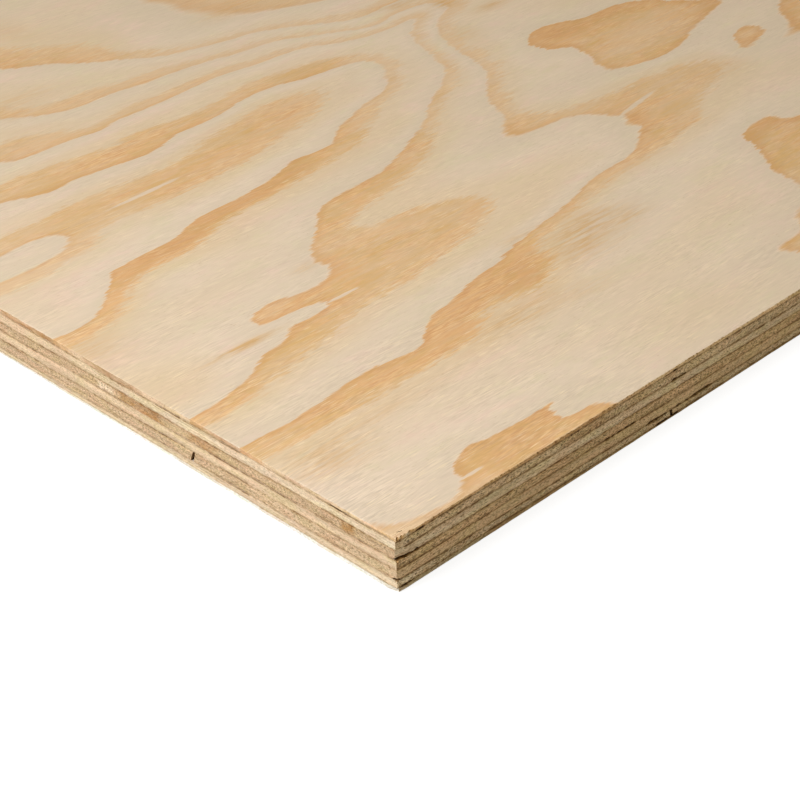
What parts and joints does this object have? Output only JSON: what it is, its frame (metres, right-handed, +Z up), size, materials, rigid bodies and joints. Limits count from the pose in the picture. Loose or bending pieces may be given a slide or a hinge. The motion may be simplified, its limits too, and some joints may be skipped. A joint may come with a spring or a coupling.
{
  "type": "plywood sheet",
  "caption": "Flat rectangular sheet of sanded pine plywood: thin veneers glued with their grain crossed, striped at the square-sawn edges.",
  "frame": {"origin": "centre of the back of the sheet, where it rests on a level floor", "axes": "+X along the length, which is the grain of the face; +Y across the width; +Z up through the plies, from the back to the sanded face"},
  "size_m": [2.4384, 1.2192, 0.0183],
  "materials": {
    "face_veneer": "sanded rotary-cut pine, pale cream sapwood with orange latewood loops, matte",
    "crossband_veneer": "sawn pine veneer, pale and fibrous along the grain, matte",
    "core_veneer": "sawn pine veneer, browner on its end grain, matte",
    "back_veneer": "lightly sanded rotary-cut pine of a plainer grade, matte"
  },
  "bodies": {
    "root": {"face_ply": "face_veneer", "upper_crossband": "crossband_veneer", "upper_core": "core_veneer", "centre_crossband": "crossband_veneer", "lower_core": "core_veneer", "lower_crossband": "crossband_veneer", "back_ply": "back_veneer"}
  },
  "joints": []
}
